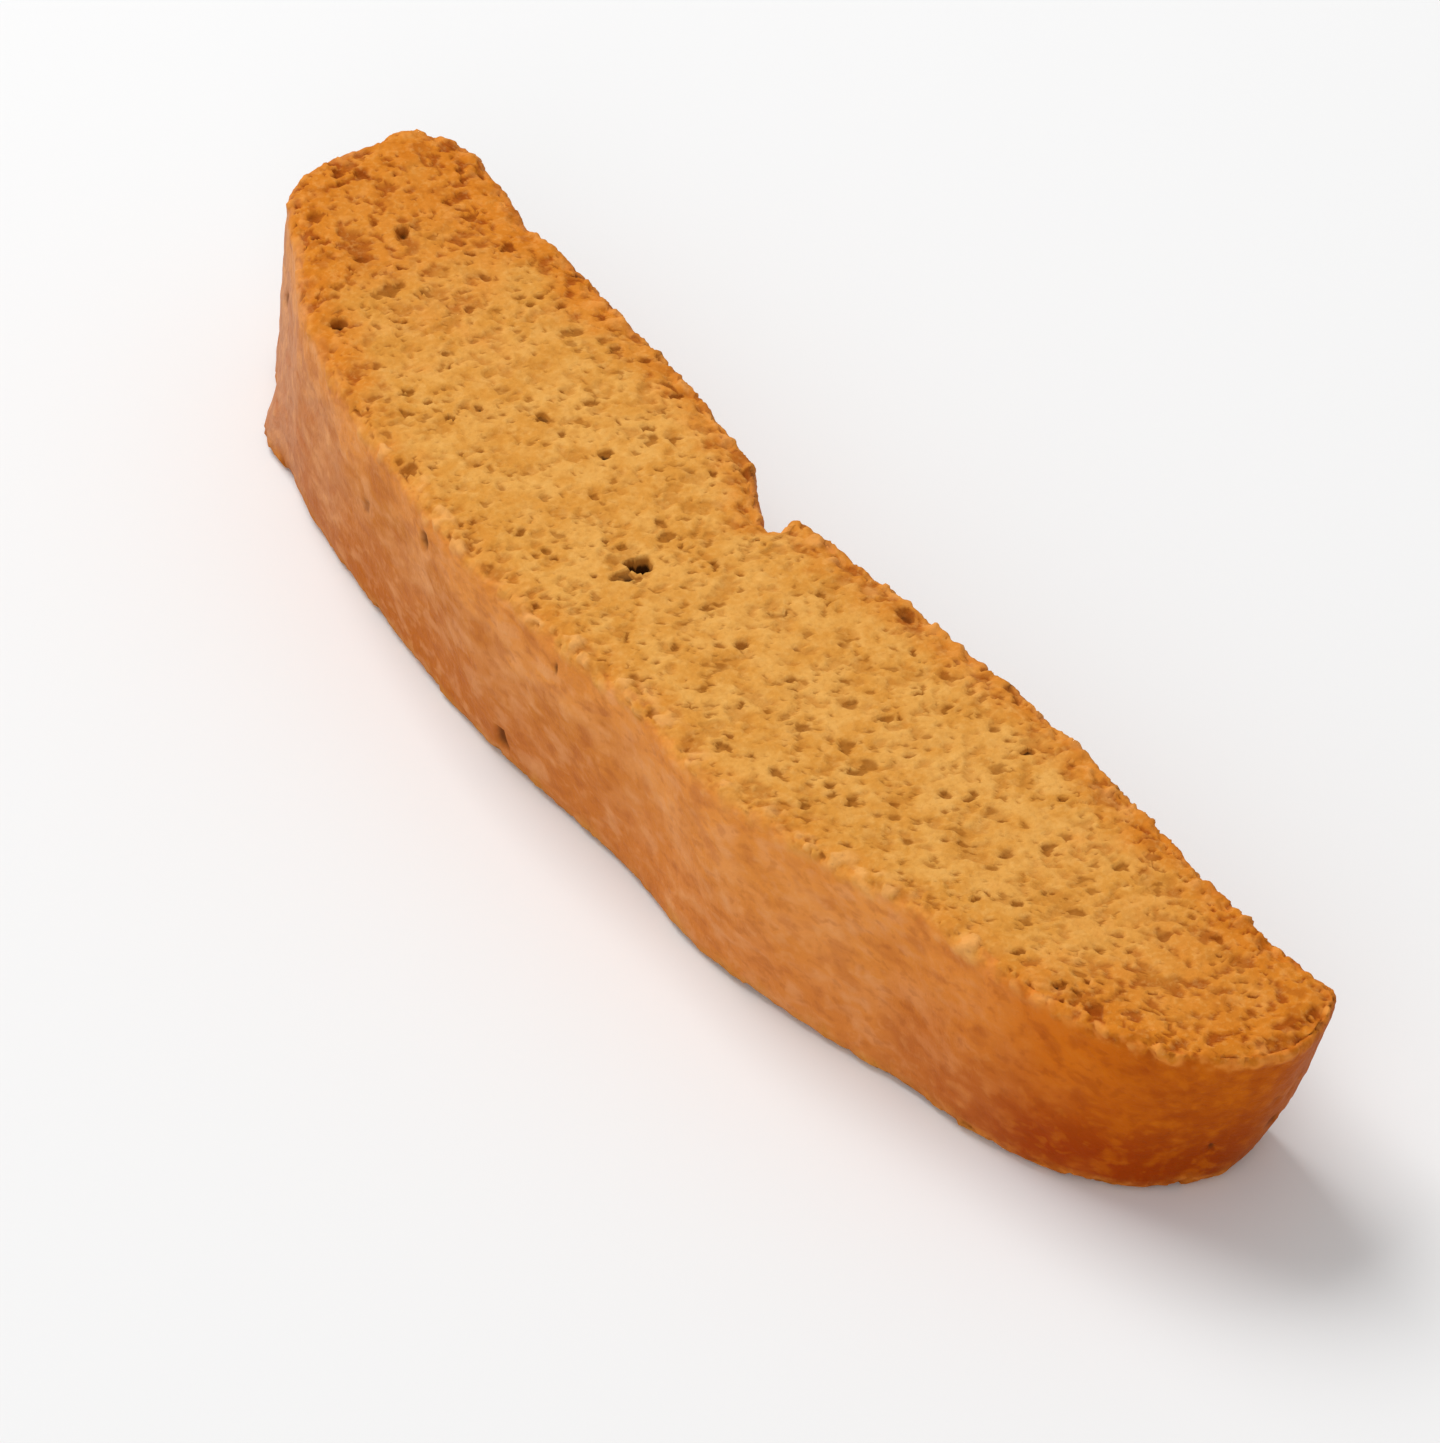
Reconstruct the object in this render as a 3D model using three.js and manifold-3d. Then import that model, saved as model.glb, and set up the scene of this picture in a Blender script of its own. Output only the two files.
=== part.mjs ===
// A cake rusk: one slice cut across a long, low loaf and baked again until it is dry all through.
// The slice lies on one of its two cut faces. Units are millimetres.
//   +X  along the slice, from its narrow far end to its round near end
//   -Y  the loaf's domed top crust, which is now an upright wall
//   +Y  the straight side of the slice, which stood against the tin
//   +Z  up, from the lower cut face at z = 0 to the upper one
// The origin is under the middle of the slice, on the surface that it lies on.

import * as THREE from 'three';
import { mergeVertices } from 'three/addons/utils/BufferGeometryUtils.js';
import Module from 'manifold-3d';

// ---------------------------------------------------------------- driving dimensions

const LENGTH = 133.2; // far end to near end, on the upper face
const WIDTH = 30.4; // top of the dome to the knob at the far end of the straight side
const THICKNESS = 17; // how thick the loaf was sliced
const EDGE_ROUND = 0.7; // radius that the knife and the second baking leave on every edge

const NEAR_END_LEAN = 6.4; // how far the near end draws in at its foot, as the tin's end did
const NEAR_END_REACH = 34; // length of the near end that takes part in that lean
const FAR_END_FLARE = 2.6; // how far the far end's domed corner spreads at its foot
const FAR_END_REACH = 40; // length of the far end that takes part in that flare
const FLARE_POWER = 1.3; // above 1, so the flare grows towards the foot
const FLARE_ALONG = -0.6; // direction of the flare along X
const FLARE_ACROSS = -0.8; // direction of the flare along Y

const WALL_SWELL = 0.28; // height of the low swells in the crust
const LONG_SWELL = [5.3, 4.1]; // how slowly the longer swells change along X and along Y
const SHORT_SWELL = [2.9, 3.3, 3.7]; // the same for the shorter ones, along X, Y and Z
const SHORT_SHARE = 0.7; // height of the shorter swells beside the longer ones

const NOTCH_FAR = -13.4; // x where the notch in the straight side begins to slope in
const NOTCH_NEAR = -5.6; // x of its steep near wall, where the notch is deepest
const NOTCH_FLOOR = 6.9; // y of its deepest point
const NOTCH_RIM = 10.6; // y where its walls meet the slice's straight side
const NOTCH_ROUND = 1.1; // how far the deepest point is rounded
const NOTCH_HOOK = 0.6; // how far the near wall's lip hangs over the notch
const NOTCH_DRIFT = 1.6; // how far the notch wanders along the slice from top to bottom

const OUTLINE_STEPS = 176; // straight steps round the outline
const WALL_STEPS = 5; // rows of facets up the wall
const ROUND_STEPS = 3; // rows of facets on each rounded edge

// The open bubbles that show as dark holes in the upper face: x, y and radius.
const UPPER_BUBBLES = [
  [-6.4, -4.0, 0.95], [-8.0, -5.3, 0.9], [-46.2, -6.6, 0.8], [6.0, -2.9, 0.55], [-31.0, -4.5, 0.5],
  [-54.0, 4.1, 0.6], [-38.0, 9.2, 0.5], [-18.0, -5.4, 0.5], [17.0, -3.1, 0.6], [26.0, 2.4, 0.55],
];
const UPPER_STRETCH = 1.2; // their length as a share of their width
const UPPER_TURN = 0.9; // radians that each one is turned for every millimetre of its x
const SMALL_BUBBLES = 14; // further bubbles scattered over the upper face
const LOWER_BUBBLES = 22; // bubbles scattered over the lower face
const BUBBLE_RADIUS = [0.45, 0.85]; // smallest and largest radius of a scattered bubble
const BUBBLE_STRETCH = [1.0, 1.5]; // shortest and longest bubble, as a share of its width
const BUBBLE_DEPTH = 1.1; // depth of a bubble as a share of its radius
const BUBBLE_MARGIN = 2.4; // clear rim between a scattered bubble and the edge of the face
const REST_SPOT = 5; // radius round the origin that stays free of bubbles underneath

const CRUST_COLOUR = 0xc48646; // toasted brown, between the pale crumb and the darker crust

// ---------------------------------------------------------------- the slice's outline

// Knots of the outline, counter-clockwise from above and starting at the far end's dimple. Each
// is a share of LENGTH from the far end and a share of WIDTH from the top of the dome.
const FAR_END = [[0.008, 0.765], [0.005, 0.668]];
const DOME_SIDE = [
  [0.021, 0.49], [0.062, 0.37], [0.123, 0.226], [0.2, 0.12], [0.289, 0.05], [0.379, 0.004],
  [0.47, 0.017], [0.553, 0.036], [0.628, 0.02], [0.711, 0.09], [0.791, 0.175], [0.87, 0.23],
];
const NEAR_END = [[0.946, 0.336], [0.981, 0.45], [1.0, 0.64], [0.988, 0.785]];
const STRAIGHT_SIDE = [
  [0.971, 0.856], [0.945, 0.842], [0.872, 0.84], [0.772, 0.87], [0.666, 0.88], [0.568, 0.855],
  [0.477, 0.832], [0.398, 0.853], [0.319, 0.9], [0.228, 0.92], [0.157, 0.943], [0.132, 0.926],
  [0.072, 0.97],
];
const FAR_KNOB = [[0.03, 0.978], [0.001, 0.88]];

function outlinePoints() {
  const knots = [...FAR_END, ...DOME_SIDE, ...NEAR_END, ...STRAIGHT_SIDE, ...FAR_KNOB];
  const places = knots.map(([along, across]) => (
    new THREE.Vector3((along - 0.5) * LENGTH, (across - 0.5) * WIDTH, 0)
  ));
  const curve = new THREE.CatmullRomCurve3(places, true, 'centripetal');
  curve.arcLengthDivisions = 4 * OUTLINE_STEPS;
  const ring = curve.getSpacedPoints(OUTLINE_STEPS);
  ring.pop();
  return ring.map((point) => new THREE.Vector2(point.x, point.y));
}

// ---------------------------------------------------------------- the wall's own form

// Low swells in the crust, highest half way up the wall and none at its two rims.
function swellAt(x, y, z) {
  const long = Math.sin(x / LONG_SWELL[0] + y / LONG_SWELL[1]);
  const short = Math.sin(x / SHORT_SWELL[0] - y / SHORT_SWELL[1] + z / SHORT_SWELL[2]);
  return WALL_SWELL * Math.sin((Math.PI * z) / THICKNESS) * (1 + long + SHORT_SHARE * short);
}

// The upright wall of an extruded slice becomes the crust: the near end leans in towards its
// foot, the domed corner of the far end spreads, and low swells run over the whole wall.
function leanAndSwell(geometry) {
  const { smoothstep } = THREE.MathUtils;
  const position = geometry.attributes.position;
  const point = new THREE.Vector3();
  const outward = new THREE.Vector2();
  const half = LENGTH / 2;
  for (let i = 0; i < position.count; i += 1) {
    point.fromBufferAttribute(position, i);
    const depth = 1 - point.z / THICKNESS;
    const near = smoothstep(point.x, half - NEAR_END_REACH, half);
    const far = smoothstep(-point.x, half - FAR_END_REACH, half);
    const domed = smoothstep(-point.y, -WIDTH / 4, WIDTH / 4);
    const lean = NEAR_END_LEAN * near * depth;
    const flare = FAR_END_FLARE * far * domed * depth ** FLARE_POWER;
    outward.set(point.x * (WIDTH / LENGTH), point.y).normalize();
    outward.multiplyScalar(swellAt(point.x, point.y, point.z));
    position.setX(i, point.x - lean + FLARE_ALONG * flare + outward.x);
    position.setY(i, point.y + FLARE_ACROSS * flare + outward.y);
  }
  return geometry;
}

function sliceGeometry(ring) {
  const shape = new THREE.Shape(ring);
  const geometry = new THREE.ExtrudeGeometry(shape, {
    depth: THICKNESS - 2 * EDGE_ROUND,
    steps: WALL_STEPS,
    bevelThickness: EDGE_ROUND,
    bevelSize: EDGE_ROUND,
    bevelOffset: -EDGE_ROUND,
    bevelSegments: ROUND_STEPS,
  });
  geometry.translate(0, 0, EDGE_ROUND);
  return leanAndSwell(geometry);
}

// ---------------------------------------------------------------- what is cut from the slice

// The notch is a groove in the loaf's straight side, so it runs through the slice from top to
// bottom. Its far wall slopes in gently and its near wall is steep, with a lip that hangs over.
function notchGeometry() {
  const mouth = WIDTH;
  const overcut = 1;
  const shape = new THREE.Shape();
  shape.moveTo(NOTCH_FAR, mouth);
  shape.lineTo(NOTCH_FAR, NOTCH_RIM);
  shape.lineTo(NOTCH_NEAR - NOTCH_ROUND, NOTCH_FLOOR);
  shape.quadraticCurveTo(NOTCH_NEAR, NOTCH_FLOOR, NOTCH_NEAR, NOTCH_FLOOR + NOTCH_ROUND);
  shape.lineTo(NOTCH_NEAR - NOTCH_HOOK, NOTCH_RIM);
  shape.lineTo(NOTCH_NEAR, mouth);
  const geometry = new THREE.ExtrudeGeometry(shape, {
    depth: THICKNESS + 2 * overcut,
    steps: WALL_STEPS,
    curveSegments: 6,
    bevelEnabled: false,
  });
  geometry.translate(0, 0, -overcut);
  const position = geometry.attributes.position;
  for (let i = 0; i < position.count; i += 1) {
    const height = position.getZ(i) / THICKNESS;
    position.setX(i, position.getX(i) + NOTCH_DRIFT * (height - 1));
  }
  return geometry;
}

// A repeatable stream of numbers from 0 to 1, so that the bubbles always fall in the same places.
function randomStream(seed) {
  let state = seed;
  return () => {
    state = (state * 16807) % 2147483647;
    return state / 2147483647;
  };
}

function ringEdges(ring) {
  return ring.map((corner, i) => [corner, ring[(i + 1) % ring.length]]);
}

function distanceToRing(point, ring) {
  const place = new THREE.Vector3(point.x, point.y, 0);
  const distances = ringEdges(ring).map(([from, to]) => {
    const edge = new THREE.Line3(new THREE.Vector3(from.x, from.y, 0), new THREE.Vector3(to.x, to.y, 0));
    return edge.closestPointToPoint(place, true, new THREE.Vector3()).distanceTo(place);
  });
  return Math.min(...distances);
}

function isInside(point, ring) {
  const crossings = ringEdges(ring).filter(([from, to]) => {
    const share = (point.y - from.y) / (to.y - from.y);
    return (from.y > point.y) !== (to.y > point.y) && point.x < from.x + share * (to.x - from.x);
  });
  return crossings.length % 2 === 1;
}

// One bubble that the knife opened: a stretched, turned ellipsoid with its middle on a cut face.
// Its turn is in radians.
function bubbleGeometry(x, y, faceZ, radius, stretch, turn) {
  const geometry = new THREE.IcosahedronGeometry(radius, 1);
  geometry.scale(stretch, 1, BUBBLE_DEPTH);
  geometry.rotateZ(turn);
  geometry.translate(x, y, faceZ);
  return geometry;
}

// Bubbles scattered over one cut face. They keep clear of its edge, of each other and of the
// round places in keepOut.
function scatteredBubbles(count, ring, faceZ, seed, keepOut) {
  const random = randomStream(seed);
  const between = ([low, high]) => low + (high - low) * random();
  const taken = [...keepOut];
  const bubbles = [];
  while (bubbles.length < count) {
    const centre = new THREE.Vector2((random() - 0.5) * LENGTH, (random() - 0.5) * WIDTH);
    const radius = between(BUBBLE_RADIUS);
    const stretch = between(BUBBLE_STRETCH);
    const turn = between([0, Math.PI]);
    const clear = taken.every(({ at, room }) => at.distanceTo(centre) > room + 2 * radius);
    if (clear && isInside(centre, ring) && distanceToRing(centre, ring) > BUBBLE_MARGIN) {
      bubbles.push(bubbleGeometry(centre.x, centre.y, faceZ, radius, stretch, turn));
      taken.push({ at: centre, room: 2 * radius });
    }
  }
  return bubbles;
}

// ---------------------------------------------------------------- solids

const wasm = await Module();
wasm.setup();

function solidOf(geometry) {
  const bare = geometry.clone();
  bare.deleteAttribute('normal');
  bare.deleteAttribute('uv');
  const merged = mergeVertices(bare, 1e-4);
  const vertProperties = new Float32Array(merged.attributes.position.array);
  const triVerts = new Uint32Array(merged.index.array);
  return new wasm.Manifold(new wasm.Mesh({ numProp: 3, vertProperties, triVerts }));
}

function geometryOf(solid) {
  const { vertProperties, triVerts } = solid.getMesh();
  const geometry = new THREE.BufferGeometry();
  geometry.setAttribute('position', new THREE.BufferAttribute(vertProperties, 3));
  geometry.setIndex(new THREE.BufferAttribute(triVerts, 1));
  geometry.computeVertexNormals();
  return geometry;
}

function ruskGeometry() {
  const ring = outlinePoints();
  const placeOf = (x, y, room) => ({ at: new THREE.Vector2(x, y), room });
  const notchRoom = placeOf((NOTCH_FAR + NOTCH_NEAR) / 2, NOTCH_FLOOR, NOTCH_NEAR - NOTCH_FAR);
  const bubbleRooms = UPPER_BUBBLES.map(([x, y, radius]) => placeOf(x, y, 2 * radius));
  const restRoom = placeOf(0, 0, REST_SPOT);
  const cuts = [
    notchGeometry(),
    ...UPPER_BUBBLES.map(([x, y, radius]) => (
      bubbleGeometry(x, y, THICKNESS, radius, UPPER_STRETCH, UPPER_TURN * x)
    )),
    ...scatteredBubbles(SMALL_BUBBLES, ring, THICKNESS, 77, [notchRoom, ...bubbleRooms]),
    ...scatteredBubbles(LOWER_BUBBLES, ring, 0, 1301, [notchRoom, restRoom]),
  ];
  const slice = solidOf(sliceGeometry(ring));
  return geometryOf(cuts.reduce((left, cut) => left.subtract(solidOf(cut)), slice));
}

// Brings the origin under the middle of the finished solid.
function centreOnFloor(geometry) {
  geometry.computeBoundingBox();
  const { min, max } = geometry.boundingBox;
  return geometry.translate(-(min.x + max.x) / 2, -(min.y + max.y) / 2, -min.z);
}

// ---------------------------------------------------------------- the part

const crust = new THREE.MeshStandardMaterial({ color: CRUST_COLOUR, roughness: 0.82, metalness: 0 });
const rusk = new THREE.Mesh(centreOnFloor(ruskGeometry()), crust);
rusk.name = 'rusk';

const part = new THREE.Group();
part.add(rusk);

export default part;
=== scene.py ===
"""One long cake rusk, lying on a cut face: porous toasted crumb above and below, browned crust
all round. Everything is worked out in millimetres and turned into metres as it becomes a mesh."""

import itertools
import math
from types import SimpleNamespace

import bpy
import numpy as np
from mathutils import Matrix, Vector


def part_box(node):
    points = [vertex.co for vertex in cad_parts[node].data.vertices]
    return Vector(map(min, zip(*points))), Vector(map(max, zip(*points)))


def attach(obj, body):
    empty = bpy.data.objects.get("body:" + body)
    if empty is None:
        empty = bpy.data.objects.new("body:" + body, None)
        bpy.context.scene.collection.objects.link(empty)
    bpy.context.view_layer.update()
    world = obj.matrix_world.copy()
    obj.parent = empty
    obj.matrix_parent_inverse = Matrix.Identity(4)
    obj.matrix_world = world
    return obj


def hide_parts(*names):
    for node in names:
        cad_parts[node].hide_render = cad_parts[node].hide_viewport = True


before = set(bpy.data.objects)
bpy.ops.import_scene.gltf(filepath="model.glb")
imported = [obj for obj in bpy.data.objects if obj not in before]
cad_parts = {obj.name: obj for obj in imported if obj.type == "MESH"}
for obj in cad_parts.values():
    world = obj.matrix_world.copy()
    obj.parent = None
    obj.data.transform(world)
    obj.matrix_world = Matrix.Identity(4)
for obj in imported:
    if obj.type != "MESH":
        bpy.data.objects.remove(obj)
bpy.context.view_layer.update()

MM = 0.001  # metres in a millimetre

# ------------------------------------------------------------------ the slice's sizes, in mm

LOW, HIGH = (np.array(corner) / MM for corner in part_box("rusk"))
LENGTH = 133.2  # far end to near end on the upper face, before the wall's lean and swells
WIDTH = 30.4  # top of the dome to the knob at the far end of the straight side
THICKNESS = HIGH[2] - LOW[2]
RIM_ROUND = 0.75  # radius of the edge between a cut face and the crust

NEAR_LEAN, NEAR_REACH = 6.5, 34.0  # how the near end draws in at its foot
NEAR_SPREAD, SPREAD_REACH = 1.7, 90.0  # how the foot of the near half stands out on the domed side
FAR_FLARE, FAR_REACH, FLARE_POWER = 2.4, 52.0, 1.6  # how the far end's domed corner spreads
FLARE_DIRECTION = (-0.6, -0.8)
FOOT_LIP, LIP_PLACE, LIP_REACH = 1.4, (-54.4, -7.3, 0.6), 3.4  # a small lip at that corner's foot
SWELL = 0.28  # height of the wall's low swells
LONG_SWELL = (5.3, 4.1)  # how slowly the longer ones change along X and Y
SHORT_SWELL, SHORT_SHARE = (2.9, 3.3, 3.7), 0.7  # the same for the shorter ones, and their height

NOTCH_FAR, NOTCH_NEAR, NOTCH_END = -13.4, -5.0, -1.8  # the groove in the straight side, along X
NOTCH_FLOOR, NOTCH_LIP = 6.7, 9.5  # and along Y
NOTCH_ROUND = 1.0  # radius of its floor and near lip
NOTCH_HOOK = 1.2  # how far its near lip leans back over it
NOTCH_DRIFT = 1.6  # how far it moves along the slice from the upper face to the lower one

CURVE_STEPS = 48  # points on the outline for each of its knots
TURN_STEPS = 10  # steps in each of the notch's rounded turns
ALONG, ACROSS = 560, 104  # grid steps along and across the upper face
NOTCH_STEPS = 72  # of the steps along, those that go round the notch
CORNER_PASSES = 10  # rounds of averaging that soften the notch's corners
EVEN_PASSES = 400  # rounds of evening out that keep a face's grid from folding at the notch
COARSER = 2  # the lower face and most of the wall have every second step
ROUND_ROWS = 4  # grid rows on each rounded rim
FINE_DEPTH, FINE_ROWS = 1.2, 4  # the wall just below the upper rim, and its rows
WALL_ROWS = 19  # rows of the rest of the wall

# Knots of the outline, counter-clockwise, as shares of LENGTH from the far end and of WIDTH from
# the top of the dome. The four runs are the four sides of a face's grid. The far knob stands a
# little past the end that LENGTH is counted from.
DOME_KNOTS = [
    (0.0115, 0.48), (0.0618, 0.358), (0.123, 0.224), (0.2, 0.12), (0.289, 0.05),
    (0.379, 0.004), (0.47, 0.017), (0.553, 0.036), (0.628, 0.02), (0.711, 0.09),
    (0.791, 0.175), (0.87, 0.23),
]
NEAR_KNOTS = [(0.946, 0.336), (0.979, 0.451), (0.997, 0.64), (0.985, 0.783)]
STRAIGHT_KNOTS = [
    (0.969, 0.855), (0.945, 0.842), (0.872, 0.84), (0.772, 0.87), (0.666, 0.88),
    (0.568, 0.855), (0.477, 0.832), (0.398, 0.853), (0.319, 0.9), (0.228, 0.92),
    (0.157, 0.943), (0.132, 0.927), (0.072, 0.975),
]
FAR_KNOTS = [(0.028, 0.985), (-0.004, 0.879), (-0.001, 0.755), (-0.003, 0.655)]

# The open bubbles that show as dark holes: x, y, radius and how deep as a share of a half ball;
# for those in the domed wall the height z stands after y.
UPPER_BUBBLES = [
    (-6.4, -4.0, 1.0, 3.0), (-7.9, -5.2, 0.75, 0.7), (-45.9, -6.7, 0.75, 1.6),
    (6.3, -2.9, 0.6, 1.2), (9.0, 0.3, 0.4, 1.2), (19.3, -3.7, 0.5, 1.1), (20.2, -3.0, 0.55, 1.1),
    (37.8, -0.2, 0.45, 1.2), (49.8, 1.2, 0.45, 1.2), (53.7, -7.1, 0.45, 1.0),
    (65.2, 2.5, 0.5, 1.0), (-38.0, 9.3, 0.5, 1.1), (-30.8, -4.4, 0.5, 1.1),
    (-53.8, 4.1, 0.75, 1.2), (-59.4, -0.8, 0.8, 0.7), (-20.5, -7.5, 0.45, 1.0),
    (-17.8, -5.4, 0.45, 1.0), (31.0, -3.6, 0.5, 1.0),
    (-52.3, -0.7, 0.65, 0.9), (-54.2, -2.4, 0.5, 0.9), (-47.6, 0.1, 0.5, 0.9),
    (-47.3, -2.4, 0.6, 0.8), (-62.1, 5.5, 0.5, 0.9), (-55.4, 10.6, 0.55, 0.9),
    (-57.4, 13.0, 0.6, 0.7), (-44.6, 6.4, 0.5, 1.0), (-37.8, 1.0, 0.5, 1.0),
]
WALL_BUBBLES = [
    (-21.2, -14.4, 13.9, 0.9, 1.1), (-9.1, -14.9, 2.5, 0.85, 1.1), (-32.0, -13.2, 10.2, 0.9, 0.5),
]

# ------------------------------------------------------------------ the noises and the relief

# Scattered bubbles: the lattice's cell in mm, the share of its cells that hold one, the least and
# the greatest radius in mm, and the first salt.
RARE = (2.6, 0.5, (0.45, 0.85), 35)
MIDDLING = (1.7, 0.45, (0.3, 0.6), 31)
SMALL = (0.8, 0.6, (0.2, 0.4), 41)
SPECKS = (4.4, 0.3, (0.25, 0.5), 51)  # those in the crust

# Whole numbers that mix a cell's three indices and its salt into a random-looking one.
AXIS_FACTORS = (73856093, 19349663, 83492791)
SALT_FACTOR = 2654435761
MIXING = ((16, 0x7FEB352D), (15, 0x846CA68B))  # shifts and the factors that follow them
LAST_SHIFT = 16

# Rough noises: the largest lumps' size in mm, the number of octaves and the first salt.
RAGGED = (1.6, 3, 11)  # where crumb gives way to crust
WARPS = [(0.9, 2, 21), (0.9, 2, 24), (0.9, 2, 27)]  # how the bubbles are bent, along x, y and z
NARROW_TEAR, BROAD_TEAR = (1.0, 2, 47), (1.9, 3, 49)
WAVE, LUMPS, GRAIN = (4.0, 3, 61), (1.5, 2, 65), (0.6, 2, 71)
CHIPPING, CRUMBLING = (1.9, 3, 81), (1.3, 2, 85)

# The relief, in mm.
BEND, NAMED_BEND = 0.6, 0.3  # how far the scattered and the listed bubbles are bent
RARE_SHARE, SPECK_SHARE = 0.45, 0.8  # of a rare bubble's and a speck's full depth
MIDDLING_DEPTH, SMALL_DEPTH, SPECK_DEPTH = 0.4, 0.2, 0.4  # the most that the others cut in
TORN_DEPTH = 0.2  # of the shallow hollows where crumbs came away as the loaf was sliced
GRAIN_DEPTH, CRUST_GRAIN_DEPTH = 0.1, 0.02  # half the height of the finest relief
WAVE_DEPTH, LUMP_DEPTH = 0.2, 0.1  # the same for the crust's waves and lumps
CHIP_DEPTH, CHIP_REACH = 0.8, 1.6  # of the chips in the rims, and how far from a rim they reach
CHIP_MORE = 0.25  # the greater, the more of a rim is chipped
CRUST_CHIPS, LOWER_CHIPS = 0.25, 0.4  # share of their depth that chips keep in crust and low down
CRUMB_HEIGHT, CRUMB_REACH = 0.22, 2.0  # of the crumbs that cling to the upper rim
CRUST_PROUD, PROUD_FROM = 0.2, 1.5  # how far the wall stands out, from this far below its rim

# Where one look gives way to another: the values at which smooth() starts and ends.
CRUMB_FADE, WANDERING = (-1.6, 0.4), 1.3  # by distance from the rim, which wanders in or out
STRAIGHT_FADE = (-0.3, 0.5)  # to the straight side, by the normal's y
STRAIGHT_POROUS = 0.6  # how much of the crumb's pores the straight side shows
NARROW_FADE, BROAD_FADE = (0.24, 0.44), (0.32, 0.52)  # to torn crumb, by its noises
UPPER_FADE = (2.0, 8.0)  # to the upper part, by height
CLING_FADE, CLING_FULL = (0.15, 0.5), 0.4  # to clinging crumbs, by their noise; all of them so near
HOT_FADE = (-2.0, 6.0)  # to the side that was nearer the heat, by y
COOL_TOAST, HOT_EXTRA = 0.75, 0.45  # how toasted a rim is on the other side, and how much more here
TOAST_REACH, TOAST_WANDERING = 5.0, 1.8  # how far from a rim the crumb is toasted
RARE_DARK, MIDDLING_DARK, SMALL_DARK = 0.4, 0.45, 0.4  # depths at which a bubble's painted shade is full
NAMED_DARK = 1.2  # how much painted shade a listed bubble gets for each mm of its depth


# ------------------------------------------------------------------ two small tools

def smooth(low, high, value):
    """0 at low and 1 at high, 3t^2 - 2t^3 of the share t of the way between them, and level
    beyond. Low may be the greater of the two."""
    share = np.clip((value - low) / (high - low), 0.0, 1.0)
    return share * share * (3.0 - 2.0 * share)


def length_of(vectors):
    """Each vector's length: the square root of the sum of its squares along the last axis."""
    return np.sqrt((vectors * vectors).sum(-1))


# ------------------------------------------------------------------ the outline

def closed_curve(knots, steps):
    """Points on the closed centripetal Catmull-Rom curve through the knots, steps for each knot.
    From knot b to knot c, with a and d beside them and t the square root of each distance, it is
    the Hermite cubic whose slopes are t_bc ((b-a)/t_ab - (c-a)/(t_ab+t_bc) + (c-b)/t_bc), and
    the like at c."""
    a, b, c, d = (np.roll(knots, -shift, axis=0) for shift in (-1, 0, 1, 2))
    t_ab, t_bc, t_cd = (np.sqrt(length_of(q - p))[:, None] for p, q in ((a, b), (b, c), (c, d)))
    slope_b = t_bc * ((b - a) / t_ab - (c - a) / (t_ab + t_bc) + (c - b) / t_bc)
    slope_c = t_bc * ((c - b) / t_bc - (d - b) / (t_bc + t_cd) + (d - c) / t_cd)
    s = np.linspace(0.0, 1.0, steps, endpoint=False)[None, :, None]
    start, end = 2 * s**3 - 3 * s**2 + 1, 3 * s**2 - 2 * s**3
    leave, arrive = s**3 - 2 * s**2 + s, s**3 - s**2
    b, c, slope_b, slope_c = (each[:, None] for each in (b, c, slope_b, slope_c))
    return (start * b + end * c + leave * slope_b + arrive * slope_c).reshape(-1, 2)


def respaced(points, steps):
    """The same open line as steps equal lengths."""
    run = np.concatenate([[0.0], np.cumsum(length_of(np.diff(points, axis=0)))])
    marks = np.linspace(0.0, run[-1], steps + 1)
    return np.stack([np.interp(marks, run, points[:, axis]) for axis in (0, 1)], axis=1)


def quarter_curve(start, corner, end):
    """The quadratic Bezier curve from start to end that leaves and arrives towards the corner."""
    t = np.linspace(0.0, 1.0, TURN_STEPS + 1)[:, None]
    start, corner, end = (np.array(p, float) for p in (start, corner, end))
    return (1 - t) ** 2 * start + 2 * t * (1 - t) * corner + t * t * end


def plain_sides():
    """The outline without its notch, as four lines: dome, near end, straight side, far end."""
    runs = [DOME_KNOTS, NEAR_KNOTS, STRAIGHT_KNOTS, FAR_KNOTS]
    knots = (np.concatenate([np.array(run) for run in runs]) - 0.5) * (LENGTH, WIDTH)
    curve = closed_curve(knots, CURVE_STEPS)
    curve = np.concatenate([curve, curve[:1]])
    ends = np.cumsum([0] + [len(run) * CURVE_STEPS for run in runs])
    return [curve[first : last + 1] for first, last in zip(ends[:-1], ends[1:])]


DOME, NEAR, STRAIGHT, FAR = plain_sides()


def notch_line(shift):
    """The notch from its far lip to where the straight side is whole again, moved along the slice
    by shift: the gentle wall, the rounded floor, the steep wall that leans back over it, and the
    near lip. Its two ends lie on the plain outline."""
    order = np.argsort(STRAIGHT[:, 0])
    ends = np.array([NOTCH_FAR, NOTCH_END]) + shift
    far, near = np.column_stack([ends, np.interp(ends, STRAIGHT[order, 0], STRAIGHT[order, 1])])
    foot, lip = np.array([NOTCH_NEAR, NOTCH_FLOOR]), np.array([NOTCH_NEAR - NOTCH_HOOK, NOTCH_LIP])
    floor = quarter_curve(foot - (NOTCH_ROUND, 0.0), foot, foot + (0.0, NOTCH_ROUND))
    below, beyond = (0.4 * NOTCH_ROUND, -NOTCH_ROUND), (NOTCH_ROUND, 0.2 * NOTCH_ROUND)
    turned = quarter_curve(lip + below, lip, lip + beyond)
    return np.concatenate([[far], np.concatenate([floor, turned]) + (shift, 0.0), [near]])


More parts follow.
